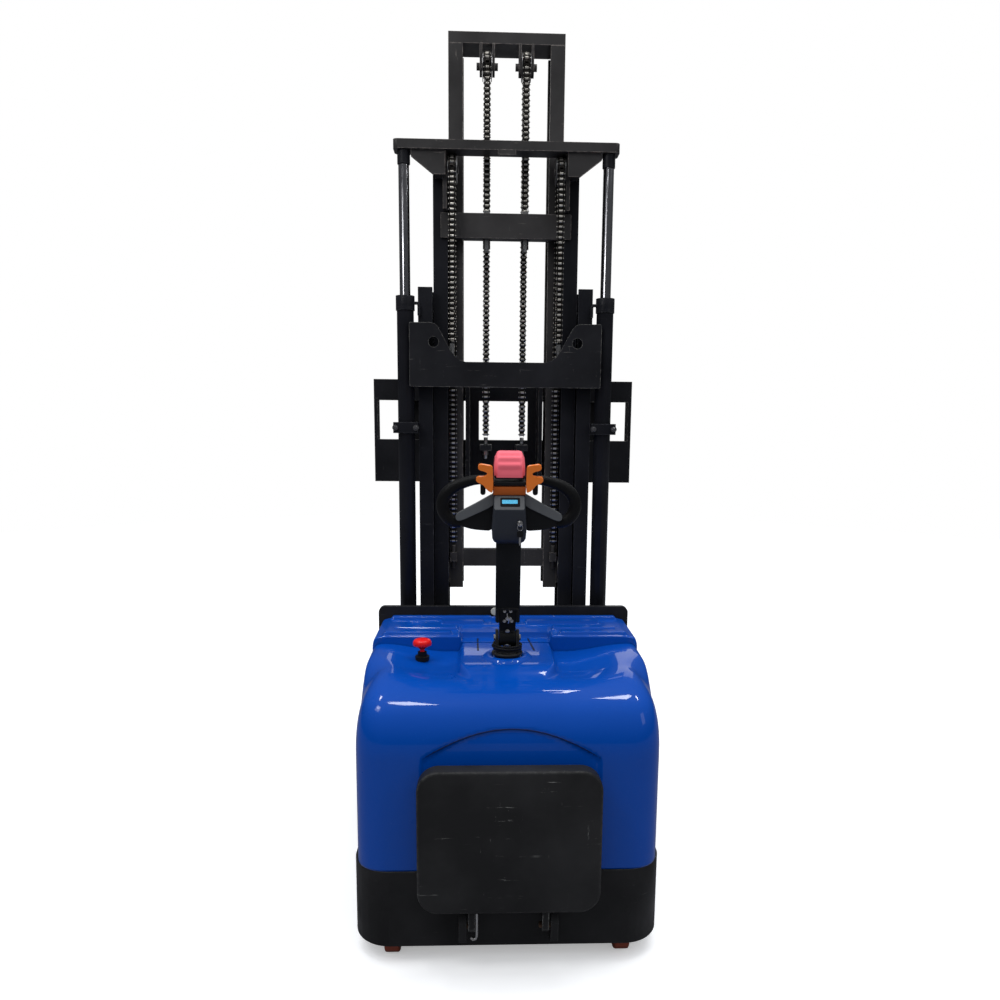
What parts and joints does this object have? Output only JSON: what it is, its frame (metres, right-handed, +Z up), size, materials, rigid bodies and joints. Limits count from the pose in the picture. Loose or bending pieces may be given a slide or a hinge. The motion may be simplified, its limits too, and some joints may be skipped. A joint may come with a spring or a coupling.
{
  "type": "walkie stacker",
  "caption": "Electric walkie stacker with telescoping mast, lift carriage with forks, straddle legs, tiller handle, moulded body and fold-down operator platform.",
  "frame": {"origin": "on the floor, midway between left and right and midway between the folded platform and the fork tips", "axes": "+X to the operator's right, +Y towards the fork tips, +Z up"},
  "size_m": [1.062, 2.202, 2.629],
  "materials": {
    "black_paint": "satin black powder coat",
    "mast_paint": "satin black paint with wear",
    "blue_shell": "gloss blue moulded shell",
    "black_plastic": "matt black moulding",
    "grey_plastic": "grey moulding",
    "orange_plastic": "orange moulding",
    "pink_rubber": "soft pink-red pad",
    "red_plastic": "gloss red",
    "chrome_rod": "ground and chromed",
    "chain_steel": "oiled chain plates",
    "bright_steel": "zinc plated",
    "roller_steel": "greased steel",
    "wheel_poly": "reddish brown polyurethane",
    "cast_grey": "cast housing",
    "grip_rubber": "matt black grip",
    "platform_paint": "textured black coat"
  },
  "bodies": {
    "chassis": {"chassis_skirt": "black_paint", "chassis_frame": "black_paint", "bulkhead_plate": "black_paint", "base_frame": "black_paint", "outrigger_left": "black_paint", "outrigger_right": "black_paint", "outer_upright_left": "mast_paint", "outer_upright_right": "mast_paint", "outer_tie_plate": "mast_paint", "chain_a_anchors": "bright_steel", "lift_cylinders": "mast_paint", "cylinder_clamps": "mast_paint", "drive_cover": "blue_shell", "battery_pack": "black_plastic", "power_unit": "cast_grey", "estop_base": "black_plastic", "chain_a_front": "chain_steel"},
    "battery_lid": {"battery_cover": "blue_shell"},
    "estop_button": {"estop_knob": "red_plastic"},
    "outer_rollers": {"outer_top_rollers": "roller_steel"},
    "mid_stage": {"mid_upright_left": "mast_paint", "mid_upright_right": "mast_paint", "crosshead": "mast_paint", "mid_crossbars": "mast_paint", "cylinder_rods": "chrome_rod", "chain_a_rear": "chain_steel", "chain_b_front": "chain_steel", "chain_b_anchors": "bright_steel"},
    "mid_sheaves": {"sheaves_a": "roller_steel"},
    "mid_lower_rollers": {"mid_bottom_rollers": "roller_steel"},
    "mid_upper_rollers": {"mid_top_rollers": "roller_steel"},
    "inner_stage": {"inner_upright_left": "mast_paint", "inner_upright_right": "mast_paint", "inner_top_bar": "mast_paint", "inner_lower_bar": "mast_paint", "chain_b_rear": "chain_steel"},
    "inner_sheaves": {"sheaves_b": "roller_steel"},
    "inner_rollers": {"inner_bottom_rollers": "roller_steel"},
    "carriage": {"carriage_frame": "mast_paint", "carriage_chain_rods": "bright_steel"},
    "carriage_upper_rollers": {"carriage_rollers_upper": "roller_steel"},
    "carriage_lower_rollers": {"carriage_rollers_lower": "roller_steel"},
    "left_fork": {"fork_left": "black_paint"},
    "right_fork": {"fork_right": "black_paint"},
    "steering": {"drive_unit": "cast_grey", "tiller_base": "black_paint"},
    "traction_wheel": {"drive_wheel": "wheel_poly"},
    "tiller": {"tiller_column": "black_paint", "tiller_head": "grey_plastic", "tiller_handle": "grip_rubber"},
    "belly_pad": {"belly_button": "pink_rubber"},
    "throttle": {"throttle_wings": "orange_plastic"},
    "ignition_key": {"key": "bright_steel"},
    "left_caster": {"caster_fork_left": "black_paint"},
    "right_caster": {"caster_fork_right": "black_paint"},
    "left_caster_wheel": {"caster_wheel_left": "wheel_poly"},
    "right_caster_wheel": {"caster_wheel_right": "wheel_poly"},
    "left_load_wheel": {"load_wheel_left": "wheel_poly"},
    "right_load_wheel": {"load_wheel_right": "wheel_poly"},
    "platform": {"platform_deck": "platform_paint"}
  },
  "joints": [
    {"name": "mid_lift", "type": "slide", "parent": "chassis", "child": "mid_stage", "axis": [0, 0, 1], "range_m": [-0.385, 0.925], "deforming": ["chain_a_front"]},
    {"name": "inner_lift", "type": "slide", "parent": "mid_stage", "child": "inner_stage", "axis": [0, 0, 1], "range_m": [-0.385, 0.925], "deforming": ["chain_a_rear", "chain_b_front"]},
    {"name": "carriage_lift", "type": "slide", "parent": "inner_stage", "child": "carriage", "axis": [0, 0, 1], "range_m": [-0.385, 0.925], "deforming": ["chain_b_rear"]},
    {"name": "mid_sheave_spin", "type": "hinge", "parent": "mid_stage", "child": "mid_sheaves", "pos_m": [0, -0.282, 2.203], "axis": [1, 0, 0], "continuous": true},
    {"name": "inner_sheave_spin", "type": "hinge", "parent": "inner_stage", "child": "inner_sheaves", "pos_m": [0, -0.219, 2.533], "axis": [1, 0, 0], "continuous": true},
    {"name": "outer_roller_spin", "type": "hinge", "parent": "chassis", "child": "outer_rollers", "pos_m": [0, -0.217, 1.772], "axis": [1, 0, 0], "continuous": true},
    {"name": "mid_lower_roller_spin", "type": "hinge", "parent": "mid_stage", "child": "mid_lower_rollers", "pos_m": [0, -0.247, 0.523], "axis": [1, 0, 0], "continuous": true},
    {"name": "mid_upper_roller_spin", "type": "hinge", "parent": "mid_stage", "child": "mid_upper_rollers", "pos_m": [0, -0.175, 2.159], "axis": [1, 0, 0], "continuous": true},
    {"name": "inner_roller_spin", "type": "hinge", "parent": "inner_stage", "child": "inner_rollers", "pos_m": [0, -0.217, 0.908], "axis": [1, 0, 0], "continuous": true},
    {"name": "carriage_upper_roller_spin", "type": "hinge", "parent": "carriage", "child": "carriage_upper_rollers", "pos_m": [0, -0.175, 1.499], "axis": [1, 0, 0], "continuous": true},
    {"name": "carriage_lower_roller_spin", "type": "hinge", "parent": "carriage", "child": "carriage_lower_rollers", "pos_m": [0, -0.175, 1.271], "axis": [1, 0, 0], "continuous": true},
    {"name": "fork_shift_left", "type": "slide", "parent": "carriage", "child": "left_fork", "axis": [1, 0, 0], "range_m": [-0.1, 0.18]},
    {"name": "fork_shift_right", "type": "slide", "parent": "carriage", "child": "right_fork", "axis": [1, 0, 0], "range_m": [-0.18, 0.1]},
    {"name": "steer", "type": "hinge", "parent": "chassis", "child": "steering", "pos_m": [0, -0.759, 0.3], "axis": [0, 0, 1], "range_deg": [-90, 90]},
    {"name": "drive_spin", "type": "hinge", "parent": "steering", "child": "traction_wheel", "pos_m": [0, -0.759, 0.115], "axis": [1, 0, 0], "continuous": true},
    {"name": "tiller_tilt", "type": "hinge", "parent": "steering", "child": "tiller", "pos_m": [0, -0.759, 0.815], "axis": [1, 0, 0], "range_deg": [-6, 72]},
    {"name": "belly_press", "type": "slide", "parent": "tiller", "child": "belly_pad", "axis": [0, 0.1478, -0.989], "range_m": [0, 0.006], "stiffness_N_per_m": 2500},
    {"name": "throttle_turn", "type": "hinge", "parent": "tiller", "child": "throttle", "pos_m": [0, -0.85064, 1.25226], "axis": [1, 0, 0], "range_deg": [-20, 20], "stiffness_Nm_per_rad": 1.2},
    {"name": "key_turn", "type": "hinge", "parent": "tiller", "child": "ignition_key", "pos_m": [0.028, -0.8674, 1.15471], "axis": [0, 0.989, 0.1478], "range_deg": [0, 80]},
    {"name": "estop_press", "type": "slide", "parent": "chassis", "child": "estop_button", "axis": [0, 0, -1], "range_m": [0, 0.006]},
    {"name": "battery_cover_lift", "type": "slide", "parent": "chassis", "child": "battery_lid", "axis": [0, 0, 1], "range_m": [0, 0.35]},
    {"name": "platform_fold", "type": "hinge", "parent": "chassis", "child": "platform", "pos_m": [0, -1.065, 0.136], "axis": [1, 0, 0], "range_deg": [0, 90]},
    {"name": "caster_swivel_left", "type": "hinge", "parent": "chassis", "child": "left_caster", "pos_m": [-0.308, -0.937, 0.15], "axis": [0, 0, 1], "continuous": true},
    {"name": "caster_swivel_right", "type": "hinge", "parent": "chassis", "child": "right_caster", "pos_m": [0.308, -0.937, 0.15], "axis": [0, 0, 1], "continuous": true},
    {"name": "caster_spin_left", "type": "hinge", "parent": "left_caster", "child": "left_caster_wheel", "pos_m": [-0.308, -0.961, 0.05], "axis": [1, 0, 0], "continuous": true},
    {"name": "caster_spin_right", "type": "hinge", "parent": "right_caster", "child": "right_caster_wheel", "pos_m": [0.308, -0.961, 0.05], "axis": [1, 0, 0], "continuous": true},
    {"name": "load_wheel_spin_left", "type": "hinge", "parent": "chassis", "child": "left_load_wheel", "pos_m": [-0.496, 0.873, 0.05], "axis": [1, 0, 0], "continuous": true},
    {"name": "load_wheel_spin_right", "type": "hinge", "parent": "chassis", "child": "right_load_wheel", "pos_m": [0.496, 0.873, 0.05], "axis": [1, 0, 0], "continuous": true}
  ],
  "couplings": [
    {"joint": "inner_lift", "follows": "mid_lift", "ratio": 1},
    {"joint": "carriage_lift", "follows": "mid_lift", "ratio": 1},
    {"joint": "mid_sheave_spin", "follows": "mid_lift", "rad_per_m": 26.316},
    {"joint": "inner_sheave_spin", "follows": "mid_lift", "rad_per_m": 26.316},
    {"joint": "outer_roller_spin", "follows": "mid_lift", "rad_per_m": 21.978},
    {"joint": "mid_lower_roller_spin", "follows": "mid_lift", "rad_per_m": 21.978},
    {"joint": "mid_upper_roller_spin", "follows": "mid_lift", "rad_per_m": 21.978},
    {"joint": "inner_roller_spin", "follows": "mid_lift", "rad_per_m": 21.978},
    {"joint": "carriage_upper_roller_spin", "follows": "mid_lift", "rad_per_m": 21.978},
    {"joint": "carriage_lower_roller_spin", "follows": "mid_lift", "rad_per_m": 21.978}
  ]
}
